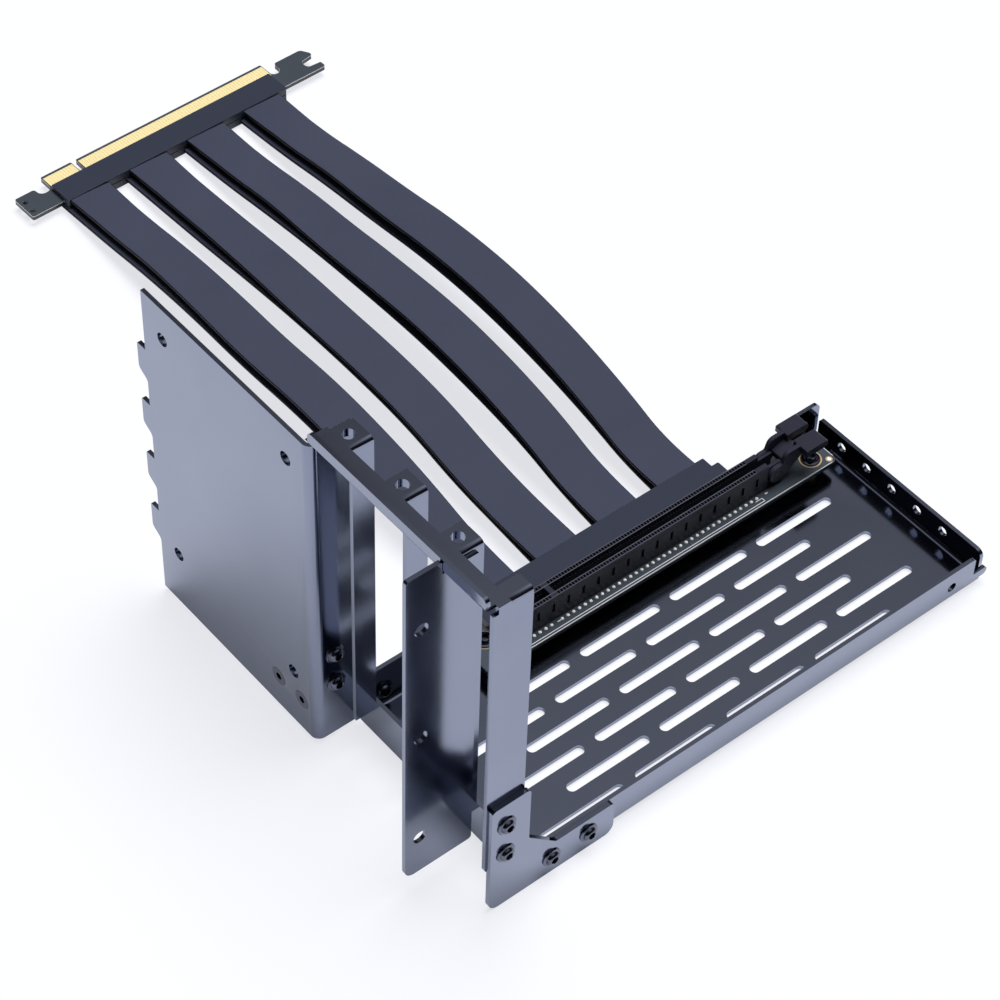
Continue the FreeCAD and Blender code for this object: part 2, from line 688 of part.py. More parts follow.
for start, count in ((CONTACT_START, SHORT_CONTACTS), (long_start, LONG_CONTACTS)):
    for i in range(count):
        x = x0 + start + i * CONTACT_PITCH - CONTACT_NOTCH / 2
        cuts.append(box(
            (x, socket_mid - notch_reach, board_top + CONTACT_NOTCH_FLOOR),
            (x + CONTACT_NOTCH, socket_mid + notch_reach, socket_top + 1),
        ))
for i in range(WINDOWS):
    x = x0 + WINDOW_START + i * WINDOW_PITCH
    for y in (socket_front, socket_back - WINDOW_DEPTH):
        cuts.append(box(
            (x, y, board_top + WINDOW_LOW),
            (x + WINDOW_WIDTH, y + WINDOW_DEPTH, board_top + WINDOW_HIGH),
        ))
housing = housing.multiFuse([neck, pivot]).cut(cuts).removeSplitter()
rails = []
for edge in housing.Edges:
    box_of = edge.BoundBox
    side = min(abs(box_of.YMin - socket_front), abs(box_of.YMax - socket_back))
    if box_of.XLength > 80 and abs(box_of.ZMin - socket_top) < 0.01 and side < 0.01:
        rails.append(edge)
housing = housing.makeChamfer(CHAMFER, rails)
save("slot_housing", housing)


# Slot latch: two arms on the neck's pivot, a web past the neck's end, and two finger wings
web_start = x0 + WEB_START
web_end = x0 + WEB_END
wing_top = board_top + WING_TOP
pieces = []
pivot_hole = rod(
    PIVOT_R + PIVOT_GAP,
    (pivot_x, socket_mid - arm_outer - 1, pivot_z),
    (pivot_x, socket_mid + arm_outer + 1, pivot_z),
)
for side in (-1, 1):
    face = socket_mid + side * arm_inner
    low = min(face, face + side * LATCH_ARM)
    pieces.append(slab("XZ", [
        (pivot_x - LATCH_BOSS_R, pivot_z - LATCH_BOSS_R, LATCH_BOSS_R * 0.95),
        (pivot_x + LATCH_BOSS_R, pivot_z - LATCH_BOSS_R, LATCH_BOSS_R * 0.6),
        (web_start + 1.0, pivot_z - 0.8, 1.5),
        (web_end, wing_top - WING - 0.8, 1.0),
        (web_end, wing_top, 0.4),
        (web_start - 0.6, wing_top, 2.2),
        (web_start - 1.6, pivot_z + LATCH_BOSS_R, 0.8),
        (pivot_x - LATCH_BOSS_R, pivot_z + LATCH_BOSS_R, LATCH_BOSS_R * 0.95),
    ], low, LATCH_ARM))
pieces.append(slab("XZ", [
    (web_start, pivot_z, 0.6),
    (web_end, wing_top - WING - 0.8, 0.6),
    (web_end, wing_top - WING + 0.4, 0.5),
    (web_start, pivot_z + 2.4, 0.6),
], socket_mid - arm_outer, 2 * arm_outer))
for outer, inner in (NEAR_WING_IN, FAR_WING_IN):
    pieces.append(slab("XZ", [
        (web_end - 1.5, wing_top - WING, 0.4),
        (x0 + WING_END, wing_top - WING, 0.9),
        (x0 + WING_END, wing_top, 0.9),
        (web_end - 1.5, wing_top, 0.4),
    ], y1 - outer, outer - inner))
latch = pieces[0].multiFuse(pieces[1:]).cut(pivot_hole).removeSplitter()
save("slot_latch", latch)


# Riser cover: two moulded halves that close on the board and on the ribbon cables
def cap(low, high, board_face):
    outline = [
        (x0 + CAP_START, y1 - CAP_FRONT_IN, CAP_EDGE),
        (x0 + CAP_END + CAP_BLOCK, y1 - CAP_FRONT_IN, CAP_EDGE),
        (x0 + CAP_END + CAP_BLOCK, y1 + CAP_BLOCK_OUT, CAP_EDGE),
        (x0 + CAP_END, y1 + CAP_BLOCK_OUT),
        (x0 + CAP_END, y1 + CAP_OUT, CAP_EDGE),
        (x0 + CAP_START, y1 + CAP_OUT, CAP_EDGE),
    ]
    half = slab("XY", outline, low, high - low)
    seat_low = min(board_face, CAP_SPLIT)
    seat_high = max(board_face, CAP_SPLIT)
    seat = box(
        (x0 + CAP_START - 1, y1 - CAP_FRONT_IN - 1, seat_low),
        (x0 + CAP_END + CAP_BLOCK + 1, y1 - BOARD_BACK_IN, seat_high),
    )
    return half.cut(seat)


save("riser_cover_top", cap(CAP_SPLIT, CAP_TOP, board_top))
save("riser_cover_bottom", cap(CAP_BOTTOM, CAP_SPLIT, BOARD_BOTTOM))


# Far edge connector, drawn square and then turned
def far(shape):
    shape.rotate(Vector(0, 0, 0), Vector(0, 0, 1), FAR_TURN)
    shape.translate(Vector(x0 + FAR_START, y1 + FAR_OUT, 0))
    return shape


edge_top = EDGE_BOARD_BOTTOM + BOARD
finger_long = FINGER_FIRST + (SHORT_CONTACTS + KEY_CONTACTS) * CONTACT_PITCH
finger_groups = ((FINGER_FIRST, SHORT_CONTACTS), (finger_long, LONG_CONTACTS))
tongue_left = FINGER_FIRST - FINGER_MARGIN
key_left = FINGER_FIRST + SHORT_CONTACTS * CONTACT_PITCH - FINGER_GAP + FINGER_MARGIN
key_right = finger_long - FINGER_MARGIN
tongue_right = finger_long + LONG_CONTACTS * CONTACT_PITCH - FINGER_GAP + FINGER_MARGIN
left_ear = tongue_left - LEFT_NOTCH
left_end = left_ear - LEFT_EAR
right_ear = tongue_right + RIGHT_NOTCH
right_end = right_ear + RIGHT_EAR
slot_end = right_end - EAR_SLOT
notch_end = EDGE_COVER_BACK - NOTCH_INSET
edge_board = slab("XY", [
    (left_end, EDGE_FRONT, 0.6),
    (right_end, EDGE_FRONT, 0.6),
    (right_end, EDGE_FRONT + 2.4, 0.4),
    (slot_end, EAR_SLOT_FRONT, 1.5),
    (slot_end, EAR_SLOT_BACK, 1.5),
    (right_end, EAR_SLOT_BACK + 0.6, 0.6),
    (right_end, EAR_LOBE, 0.9),
    (right_end - 1.7, RIGHT_EAR_BACK, 1.6),
    (right_ear, RIGHT_EAR_BACK, 1.0),
    (right_ear, notch_end, RIGHT_NOTCH * 0.48),
    (tongue_right, notch_end, RIGHT_NOTCH * 0.48),
    (tongue_right, EDGE_BACK, 0.5),
    (key_right, EDGE_BACK, 0.5),
    (key_right, notch_end, (key_right - key_left) * 0.48),
    (key_left, notch_end, (key_right - key_left) * 0.48),
    (key_left, EDGE_BACK, 0.5),
    (tongue_left, EDGE_BACK, 0.5),
    (tongue_left, notch_end, LEFT_NOTCH * 0.45),
    (left_ear, notch_end, LEFT_NOTCH * 0.45),
    (left_ear, LEFT_EAR_BACK, 1.0),
    (left_end, LEFT_EAR_BACK, 0.6),
], EDGE_BOARD_BOTTOM, BOARD)
ear_holes = []
for from_end, y in EAR_HOLES:
    x = left_end + from_end
    ear_holes.append(rod(EAR_HOLE_R, (x, y, EDGE_BOARD_BOTTOM - 1), (x, y, edge_top + 1)))
edge_board = far(edge_board.cut(ear_holes))
save("edge_board", edge_board)

strips = []
for start, count in finger_groups:
    for low in (edge_top, EDGE_BOARD_BOTTOM - FINGER):
        end = start + count * CONTACT_PITCH - FINGER_GAP
        strip = box((start, FINGER_START, low), (end, FINGER_END, low + FINGER))
        gaps = []
        for i in range(1, count):
            x = start + i * CONTACT_PITCH
            gap_low = low + FINGER * 0.3 if low == edge_top else low - 1
            gap_high = low + 1 if low == edge_top else low + FINGER * 0.7
            gaps.append(box((x - FINGER_GAP, FINGER_START - 1, gap_low), (x, FINGER_END + 1, gap_high)))
        strips.append(far(strip.cut(gaps)))
save("edge_fingers", Part.makeCompound(strips))


def edge_cover(low, high, board_face):
    half = slab("XY", [
        (EDGE_COVER_START, EDGE_COVER_FRONT, CAP_EDGE),
        (EDGE_COVER_END, EDGE_COVER_FRONT, CAP_EDGE),
        (EDGE_COVER_END, EDGE_COVER_BACK, CAP_EDGE),
        (EDGE_COVER_START, EDGE_COVER_BACK, CAP_EDGE),
    ], low, high - low)
    seat_low = min(board_face, EDGE_SPLIT)
    seat_high = max(board_face, EDGE_SPLIT)
    seat = box(
        (EDGE_COVER_START - 1, EDGE_FRONT, seat_low),
        (EDGE_COVER_END + 1, EDGE_COVER_BACK + 1, seat_high),
    )
    return far(half.cut(seat))


edge_cover_top = edge_cover(EDGE_SPLIT, EDGE_COVER_TOP, edge_top)
edge_cover_bottom = edge_cover(0, EDGE_SPLIT, EDGE_BOARD_BOTTOM)
save("edge_cover_top", edge_cover_top)
save("edge_cover_bottom", edge_cover_bottom)


# Ribbon cables: each segment is an upper and a lower flat cable, drawn from the side as
# straight runs joined by tangent arcs. Points are y past the tray's back face and z.
UPPER_ROUTES = (
    (
        (23.3, 6.9), (44.3, 11.3), (65.3, 13.7), (89.3, 14.5),
        (114.3, 12.2), (140.3, 11.6), (164.3, 9.2), (187.3, 5.7),
    ),
    (
        (23.3, 6.8), (44.3, 8.4), (65.3, 12.5), (89.3, 13.4),
        (114.3, 12.3), (140.3, 11.0), (164.3, 7.9), (187.3, 5.6),
    ),
    (
        (22.3, 7.0), (41.3, 12.4), (63.3, 15.8), (88.3, 17.1),
        (114.3, 15.0), (139.3, 12.0), (163.3, 9.7), (187.3, 5.7),
    ),
    (
        (20.3, 5.9), (38.3, 11.1), (62.3, 16.0), (88.3, 18.4),
        (114.3, 17.2), (140.3, 12.9), (164.3, 9.7), (187.3, 5.6),
    ),
)
LAYER_DROP = (1.3, 1.8, 2.8, 3.3, 3.2, 2.7, 2.2, 2.1)


def ribbon_solid(left, route):
    """A flat cable along a route of (y, z) points, run into both covers and cut to their faces."""
    points = [Vector(0, y, z) for y, z in route]
    path = []
    last = points[0]
    radii = []
    for i in range(1, len(points) - 1):
        here = points[i]
        before = points[i - 1] - here
        after = points[i + 1] - here
        reach = 0.45 * min(before.Length, after.Length)
        half = before.getAngle(after) / 2
        radius = reach * math.tan(half)
        before.normalize()
        after.normalize()
        middle = before + after
        middle.normalize()
        centre = here + middle * (radius / math.sin(half))
        path.append((last, here + before * reach, None))
        path.append((here + before * reach, here + after * reach, centre))
        last = here + after * reach
        radii.append(round(radius))
    path.append((last, points[-1], None))

    def side(offset):
        edges = []
        for start, end, centre in path:
            if centre is None:
                along = end - start
                normal = Vector(0, -along.z, along.y)
                normal.normalize()
                edges.append(Part.LineSegment(start + normal * offset, end + normal * offset).toShape())
            else:
                up = centre.z > (start.z + end.z) / 2
                grow = -offset if up else offset
                size = (start - centre).Length
                factor = (size + grow) / size
                first = centre + (start - centre) * factor
                final = centre + (end - centre) * factor
                bulge = (first + final) * 0.5 - centre
                bulge.normalize()
                edges.append(Part.Arc(first, centre + bulge * (size + grow), final).toShape())
        return edges

    top = side(RIBBON / 2)
    bottom = side(-RIBBON / 2)
    caps = []
    for i in (0, -1):
        a = top[i].Vertexes[i].Point
        b = bottom[i].Vertexes[i].Point
        caps.append(Part.LineSegment(a, b).toShape())
    outline = Part.Wire(Part.__sortEdges__(top + bottom + caps))
    solid = Part.Face(outline).extrude(Vector(RIBBON_WIDTH, 0, 0))
    length = sum(e.Length for e in side(0))
    slope = RIBBON_DRIFT / (route[-1][0] - route[0][0])
    skew = FreeCAD.Matrix()
    skew.A12 = slope
    skew.A14 = left - slope * route[0][0]
    solid = solid.transformGeometry(skew)
    share = solid.Volume / (length * RIBBON * RIBBON_WIDTH)
    print("ribbon radii", radii, "length", round(length, 1), "volume share", round(share, 4))
    return solid


trims = [
    far(box((left_end, EDGE_COVER_FRONT, -1), (right_end, EDGE_BACK, EDGE_COVER_TOP + 5))),
    box((x0, y1, -1), (x1, y1 + CAP_OUT, CAP_TOP + 5)),
]
for number, route in enumerate(UPPER_ROUTES):
    left = x0 + RIBBON_FIRST + number * RIBBON_PITCH
    start_y = y1 + CAP_OUT - RIBBON_INSIDE
    end_y = y1 + RIBBON_REACH
    upper = [(start_y, RIBBON_UPPER_Z)]
    lower = [(start_y, RIBBON_LOWER_Z)]
    for (y, z), drop in zip(route, LAYER_DROP):
        upper.append((y1 + y, z))
        lower.append((y1 + y, z - drop))
    upper.append((end_y, FAR_UPPER_Z))
    lower.append((end_y, FAR_LOWER_Z))
    save("ribbon_%d_upper" % (number + 1), ribbon_solid(left, upper).cut(trims))
    save("ribbon_%d_lower" % (number + 1), ribbon_solid(left, lower).cut(trims))
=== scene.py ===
import math

import bmesh
import bpy
from mathutils import Matrix, Vector


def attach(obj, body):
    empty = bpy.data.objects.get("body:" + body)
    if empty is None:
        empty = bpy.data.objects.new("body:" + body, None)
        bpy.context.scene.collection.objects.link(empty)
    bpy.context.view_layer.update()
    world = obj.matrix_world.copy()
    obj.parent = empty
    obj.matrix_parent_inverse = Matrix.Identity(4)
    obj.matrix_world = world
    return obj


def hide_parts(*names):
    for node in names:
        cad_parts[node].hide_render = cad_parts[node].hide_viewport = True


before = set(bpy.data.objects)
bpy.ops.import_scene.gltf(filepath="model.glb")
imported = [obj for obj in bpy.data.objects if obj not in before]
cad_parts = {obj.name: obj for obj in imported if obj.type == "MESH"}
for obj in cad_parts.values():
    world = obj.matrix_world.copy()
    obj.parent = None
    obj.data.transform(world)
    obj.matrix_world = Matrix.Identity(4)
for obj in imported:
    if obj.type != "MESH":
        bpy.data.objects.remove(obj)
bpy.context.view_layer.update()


# The view: a long lens looks down on the mount from its front left, over a white floor.
# The floor is lit paper that takes the mount's shadow, with some glow of its own: most for the
# camera, which sees it almost white, and less for the black coat that mirrors it.
camera_data = bpy.data.cameras.new("camera")
camera_data.sensor_width = 36.0
camera_data.lens = 111.49
camera_data.clip_start = 0.05
camera_data.clip_end = 20.0
camera = bpy.data.objects.new("camera", camera_data)
camera.location = (-0.38271, -0.36973, 0.63427)
camera.rotation_euler = (math.radians(42.45056), math.radians(-1.37128), math.radians(-39.26589))
bpy.context.scene.collection.objects.link(camera)
bpy.context.scene.camera = camera
bpy.context.scene.view_settings.view_transform = "Standard"


def new_material(name):
    """A material with an empty node tree and its output."""
    material = bpy.data.materials.new(name)
    material.use_nodes = True
    material.node_tree.nodes.clear()
    nodes = material.node_tree.nodes
    output = nodes.new("ShaderNodeOutputMaterial")
    return material, nodes, material.node_tree.links, output


def add_object(name, mesh, *materials):
    piece = bpy.data.objects.new(name, mesh)
    for material in materials:
        mesh.materials.append(material)
    bpy.context.scene.collection.objects.link(piece)
    return piece


def mesh_of(name, bm):
    """The drawn shape as a mesh. The drawing itself is let go."""
    mesh = bpy.data.meshes.new(name)
    bm.to_mesh(mesh)
    bm.free()
    return mesh


FLOOR_SEEN = 0.77
FLOOR_MIRRORED = 0.2
FLOOR_DROP = 0.0004
paper, nodes, links, output = new_material("white_paper")
lit = nodes.new("ShaderNodeBsdfDiffuse")
lit.inputs["Color"].default_value = (0.95, 0.96, 1.0, 1)
glow = nodes.new("ShaderNodeEmission")
glow.inputs["Color"].default_value = (0.945, 0.957, 1.0, 1)
glow.inputs["Strength"].default_value = 1.0
path = nodes.new("ShaderNodeLightPath")
mirrored = nodes.new("ShaderNodeMath")
mirrored.operation = "MAXIMUM"
mirrored_share = nodes.new("ShaderNodeMath")
mirrored_share.operation = "MULTIPLY"
mirrored_share.inputs[1].default_value = FLOOR_MIRRORED
share = nodes.new("ShaderNodeMath")
share.operation = "MULTIPLY_ADD"
share.inputs[1].default_value = FLOOR_SEEN
blend = nodes.new("ShaderNodeMixShader")
links.new(path.outputs["Is Glossy Ray"], mirrored.inputs[0])
links.new(path.outputs["Is Transmission Ray"], mirrored.inputs[1])
links.new(mirrored.outputs[0], mirrored_share.inputs[0])
links.new(path.outputs["Is Camera Ray"], share.inputs[0])
links.new(mirrored_share.outputs[0], share.inputs[2])
links.new(share.outputs[0], blend.inputs[0])
links.new(lit.outputs[0], blend.inputs[1])
links.new(glow.outputs[0], blend.inputs[2])
links.new(blend.outputs[0], output.inputs["Surface"])

bm = bmesh.new()
bmesh.ops.create_grid(bm, x_segments=1, y_segments=1, size=3.0)
bmesh.ops.translate(bm, verts=bm.verts, vec=(0, 0, -FLOOR_DROP))
add_object("floor", mesh_of("floor", bm), paper)

# the room is dark towards the walls and light overhead, brightest a little to the right
world = bpy.data.worlds.new("studio")
world.use_nodes = True
bpy.context.scene.world = world
sky = world.node_tree.nodes["Background"]
heading = world.node_tree.nodes.new("ShaderNodeTexCoord")
towards = world.node_tree.nodes.new("ShaderNodeVectorMath")
towards.operation = "DOT_PRODUCT"
towards.inputs[1].default_value = Vector((0.22, 0.05, 0.97)).normalized()
falloff = world.node_tree.nodes.new("ShaderNodeValToRGB")
falloff.color_ramp.elements[0].position = 0.45
falloff.color_ramp.elements[0].color = (0.020, 0.021, 0.026, 1)
falloff.color_ramp.elements[1].position = 1.0
falloff.color_ramp.elements[1].color = (0.75, 0.76, 0.80, 1)
for position, level in ((0.66, 0.022), (0.76, 0.08), (0.84, 0.25), (0.92, 0.44)):
    stop = falloff.color_ramp.elements.new(position)
    stop.color = (level, level, level * 1.03, 1)
world.node_tree.links.new(heading.outputs["Generated"], towards.inputs[0])
world.node_tree.links.new(towards.outputs["Value"], falloff.inputs["Fac"])
world.node_tree.links.new(falloff.outputs["Color"], sky.inputs["Color"])
sky.inputs["Strength"].default_value = 1.0

overhead = bpy.data.lights.new("overhead", "SUN")
overhead.energy = 3.4
overhead.angle = math.radians(40)
overhead_lamp = bpy.data.objects.new("overhead", overhead)
overhead_lamp.rotation_euler = (math.radians(-4), math.radians(13), 0)
overhead_lamp.visible_glossy = False
bpy.context.scene.collection.objects.link(overhead_lamp)


# Ribbon cables: each of the four segments is two flat cables with a satin dark blue-grey
# jacket, moulded over bundled pairs. They leave the riser cover level, rise in a low arch and
# come down to the far edge connector, which lies on the table.

# each point is how far back it is, the height of the upper ribbon, and how far the lower one is
# below it
RIBBON_ROUTES = (
    (
        (0.04085, 0.0072, 0.0029), (0.05715, 0.0069, 0.0013), (0.07815, 0.0115, 0.0020),
        (0.09915, 0.0141, 0.0032), (0.12315, 0.0150, 0.0038), (0.14815, 0.0126, 0.0036),
        (0.17415, 0.0119, 0.0030), (0.19815, 0.0094, 0.0024), (0.22115, 0.0057, 0.0021),
        (0.24415, 0.0040, 0.0028),
    ),
    (
        (0.04085, 0.0072, 0.0029), (0.05715, 0.0068, 0.0013), (0.07815, 0.0087, 0.0020),
        (0.09915, 0.0130, 0.0020), (0.12315, 0.0140, 0.0022), (0.14815, 0.0128, 0.0018),
        (0.17415, 0.0113, 0.0026), (0.19815, 0.0081, 0.0024), (0.22115, 0.0056, 0.0021),
        (0.24415, 0.0040, 0.0028),
    ),
    (
        (0.04085, 0.0072, 0.0029), (0.05615, 0.0072, 0.0015), (0.07515, 0.0132, 0.0026),
        (0.09715, 0.0170, 0.0040), (0.12215, 0.0184, 0.0044), (0.14815, 0.0162, 0.0036),
        (0.17315, 0.0128, 0.0022), (0.19715, 0.0101, 0.0026), (0.22115, 0.0057, 0.0021),
        (0.24415, 0.0040, 0.0028),
    ),
    (
        (0.04085, 0.0072, 0.0029), (0.05415, 0.0062, 0.0016), (0.07215, 0.0122, 0.0029),
        (0.09615, 0.0175, 0.0043), (0.12215, 0.0199, 0.0048), (0.14815, 0.0185, 0.0045),
        (0.17415, 0.0138, 0.0036), (0.19815, 0.0101, 0.0026), (0.22115, 0.0056, 0.0021),
        (0.24415, 0.0040, 0.0028),
    ),
)
RIBBON_WIDTH = 0.0143
RIBBON_THICK = 0.0010
RIBBON_MIDDLE = -0.02895
RIBBON_PITCH = 0.02175
RIBBON_SLOPE = 0.01758
RIBBON_EXIT = 0.03935
RIBBON_CROWN = 0.00006
RIBBON_ROUNDING = 0.0003
RIBBON_SHADED_SIDE = 0.00025       # how far in from each edge the painted shade on the cut side reaches
RIBBON_ROWS = 10
FAR_START = 0.160           # the upper ribbons step aside and lean from here back
FAR_GROWTH = 0.040
FAR_SIDESTEP = 0.0014
FAR_LEAN = 0.13
LEAN_END = 0.246            # flat again where they enter the connector's cover
LEAN_FADE = 0.020
SKIN_LENGTH = 0.205


def grain_group():
    """Fine surface grain at a given size, and a broad cloud for uneven gloss."""
    group = bpy.data.node_groups.new("surface_grain", "ShaderNodeTree")
    group.interface.new_socket("Vector", in_out="INPUT", socket_type="NodeSocketVector")
    size = group.interface.new_socket("Grain Scale", in_out="INPUT", socket_type="NodeSocketFloat")
    size.default_value = 2500
    group.interface.new_socket("Grain", in_out="OUTPUT", socket_type="NodeSocketFloat")
    group.interface.new_socket("Cloud", in_out="OUTPUT", socket_type="NodeSocketFloat")
    into = group.nodes.new("NodeGroupInput")
    out = group.nodes.new("NodeGroupOutput")
    fine = group.nodes.new("ShaderNodeTexNoise")
    fine.inputs["Detail"].default_value = 2
    broad = group.nodes.new("ShaderNodeTexNoise")
    broad.inputs["Scale"].default_value = 45
    broad.inputs["Detail"].default_value = 3
    group.links.new(into.outputs["Vector"], fine.inputs["Vector"])
    group.links.new(into.outputs["Grain Scale"], fine.inputs["Scale"])
    group.links.new(into.outputs["Vector"], broad.inputs["Vector"])
    group.links.new(fine.outputs["Fac"], out.inputs["Grain"])
    group.links.new(broad.outputs["Fac"], out.inputs["Cloud"])
    return group


surface_grain = grain_group()


def finish_of(name, colours, metallic, gloss, grain_scale, bump, coordinates="Object"):
    """A principled surface whose colour moves between two near values with the cloud, whose
    roughness does the same, and whose grain is a bump of the given height in metres."""
    material, nodes, links, output = new_material(name)
    shader = nodes.new("ShaderNodeBsdfPrincipled")
    shader.inputs["Metallic"].default_value = metallic
    shader.inputs["IOR"].default_value = 1.5
    where = nodes.new("ShaderNodeTexCoord")
    grain = nodes.new("ShaderNodeGroup")
    grain.node_tree = surface_grain
    grain.inputs["Grain Scale"].default_value = grain_scale
    tint = nodes.new("ShaderNodeMix")
    tint.data_type = "RGBA"
    tint.inputs["A"].default_value = (*colours[0], 1)
    tint.inputs["B"].default_value = (*colours[1], 1)
    rough = nodes.new("ShaderNodeMapRange")
    rough.inputs["From Min"].default_value = 0.3
    rough.inputs["From Max"].default_value = 0.7
    rough.inputs["To Min"].default_value = gloss[0]
    rough.inputs["To Max"].default_value = gloss[1]
    relief = nodes.new("ShaderNodeBump")
    relief.inputs["Strength"].default_value = 1.0
    relief.inputs["Distance"].default_value = bump
    links.new(where.outputs[coordinates], grain.inputs["Vector"])
    links.new(grain.outputs["Cloud"], tint.inputs["Factor"])
    links.new(grain.outputs["Cloud"], rough.inputs["Value"])
    links.new(grain.outputs["Grain"], relief.inputs["Height"])
    links.new(tint.outputs["Result"], shader.inputs["Base Color"])
    links.new(rough.outputs["Result"], shader.inputs["Roughness"])
    links.new(relief.outputs["Normal"], shader.inputs["Normal"])
    links.new(shader.outputs["BSDF"], output.inputs["Surface"])
    return material


jacket = finish_of(
    "cable_jacket", ((0.044, 0.050, 0.080), (0.054, 0.061, 0.094)), 0.0, (0.60, 0.70), 1500,
    0.00002, "UV"
)
nodes = jacket.node_tree.nodes
links = jacket.node_tree.links
shader = nodes["Principled BSDF"]
relief = nodes["Bump"]
shader.inputs["Specular IOR Level"].default_value = 0.35
# long soft ridges show where the bundled pairs lie under the jacket
ridges = nodes.new("ShaderNodeTexWave")
ridges.bands_direction = "Y"
ridges.inputs["Scale"].default_value = 110
ridges.inputs["Distortion"].default_value = 0.15
long_way = nodes.new("ShaderNodeBump")
long_way.inputs["Strength"].default_value = 0.25
long_way.inputs["Distance"].default_value = 0.00003
uv = nodes.new("ShaderNodeTexCoord")
links.new(uv.outputs["UV"], ridges.inputs["Vector"])
links.new(ridges.outputs["Fac"], long_way.inputs["Height"])
links.new(relief.outputs["Normal"], long_way.inputs["Normal"])
links.new(long_way.outputs["Normal"], shader.inputs["Normal"])
# painted shade: the jacket's cut sides, and a narrow strip along each edge of its faces, are
# coloured near black for the shade between the ribbons
across = nodes.new("ShaderNodeSeparateXYZ")
unshaded_middle = nodes.new("ShaderNodeMath")
unshaded_middle.operation = "COMPARE"
unshaded_middle.inputs[1].default_value = RIBBON_WIDTH / 2
unshaded_middle.inputs[2].default_value = RIBBON_WIDTH / 2 - RIBBON_SHADED_SIDE
side_shade = nodes.new("ShaderNodeMix")
side_shade.data_type = "RGBA"
side_shade.inputs["A"].default_value = (0.003, 0.003, 0.007, 1)
links.new(uv.outputs["UV"], across.inputs["Vector"])
links.new(across.outputs["Y"], unshaded_middle.inputs[0])
links.new(unshaded_middle.outputs[0], side_shade.inputs["Factor"])
links.new(shader.inputs["Base Color"].links[0].from_socket, side_shade.inputs["B"])
links.new(side_shade.outputs["Result"], shader.inputs["Base Color"])


def route_line(name, points):
    """Points along a smooth line with these control points."""
    curve = bpy.data.curves.new(name, "CURVE")
    curve.dimensions = "3D"
    spline = curve.splines.new("NURBS")
    spline.points.add(len(points) - 1)
    for control, point in zip(spline.points, points):
        control.co = (*point, 1)
    spline.order_u = 3
    spline.use_endpoint_u = True
    spline.resolution_u = 10
    holder = bpy.data.objects.new(name, curve)
    line = bpy.data.meshes.new_from_object(holder)
    path = [vertex.co.copy() for vertex in line.vertices]
    bpy.data.objects.remove(holder)
    bpy.data.meshes.remove(line)
    bpy.data.curves.remove(curve)
    return path


def far_share(y):
    """How much of the far end's sidestep and lean an upper ribbon has at this distance back."""
    return min(max((y - FAR_START) / FAR_GROWTH, 0), 1)


def ribbon_mesh(name, path, lean):
    """A grid laid along the route, given its thickness below and rounded by a bevel."""
    last = len(path) - 1
    bm = bmesh.new()
    bmesh.ops.create_grid(bm, x_segments=last, y_segments=RIBBON_ROWS, size=0.5)
    skin = bm.loops.layers.uv.new("skin")
    for face in bm.faces:
        for loop in face.loops:
            run = (loop.vert.co.x + 0.5) * SKIN_LENGTH
            loop[skin].uv = (run, (loop.vert.co.y + 0.5) * RIBBON_WIDTH)
    for vertex in bm.verts:
        step = round((vertex.co.x + 0.5) * last)
        across = -vertex.co.y
        along = path[min(step + 1, last)] - path[max(step - 1, 0)]
        normal = Vector((0, -along.z, along.y)).normalized()
        crown = RIBBON_CROWN * (1 - (2 * across) ** 2)
        y = path[step].y
        tilt = lean * far_share(y) * min(max((LEAN_END - y) / LEAN_FADE, 0), 1)
        side = Vector((across * RIBBON_WIDTH, 0, -across * RIBBON_WIDTH * tilt))
        vertex.co = path[step] + side + normal * (RIBBON_THICK / 2 + crown - RIBBON_CROWN)
    bmesh.ops.recalc_face_normals(bm, faces=bm.faces)
    if sum(face.normal.z for face in bm.faces) < 0:
        bmesh.ops.reverse_faces(bm, faces=bm.faces)
    bmesh.ops.solidify(bm, geom=bm.faces, thickness=RIBBON_THICK - RIBBON_CROWN)
    mesh = mesh_of(name, bm)
    mesh.shade_smooth()
    return mesh


for number, route in enumerate(RIBBON_ROUTES):
    middle = RIBBON_MIDDLE + number * RIBBON_PITCH
    for layer in ("upper", "lower"):
        node = "ribbon_%d_%s" % (number + 1, layer)
        points = []
        for y, z, drop in route:
            x = middle + (y - RIBBON_EXIT) * RIBBON_SLOPE
            if layer == "lower":
                z = z - drop
            else:
                x = x + FAR_SIDESTEP * far_share(y)
            points.append((x, y, z))
        path = route_line(node + "_route", points)
        lean = FAR_LEAN if layer == "upper" else 0
        ribbon = add_object("flat_" + node, ribbon_mesh(node, path, lean), jacket)
        bevel = ribbon.modifiers.new("rounded_edges", "BEVEL")
        bevel.width = RIBBON_ROUNDING
        bevel.segments = 3
        bevel.limit_method = "ANGLE"
        bevel.angle_limit = math.radians(50)
        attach(ribbon, "mount")
        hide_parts(node)


# Folded steel: the tray, slot frame, rear cover, flange plate and gussets are 1.2 and 1.5 mm
# sheet, punched and folded, with a smooth semi-gloss black coat that mirrors the white floor.
# Each keeps its drawn shape, with the thin rolled edge that the coat leaves on every cut.
STEEL_ROLL = 0.00012
black_coat = finish_of(
    "black_coat", ((0.195, 0.22, 0.30), (0.235, 0.26, 0.34)), 1.0, (0.11, 0.16), 1800, 0.0000012
)


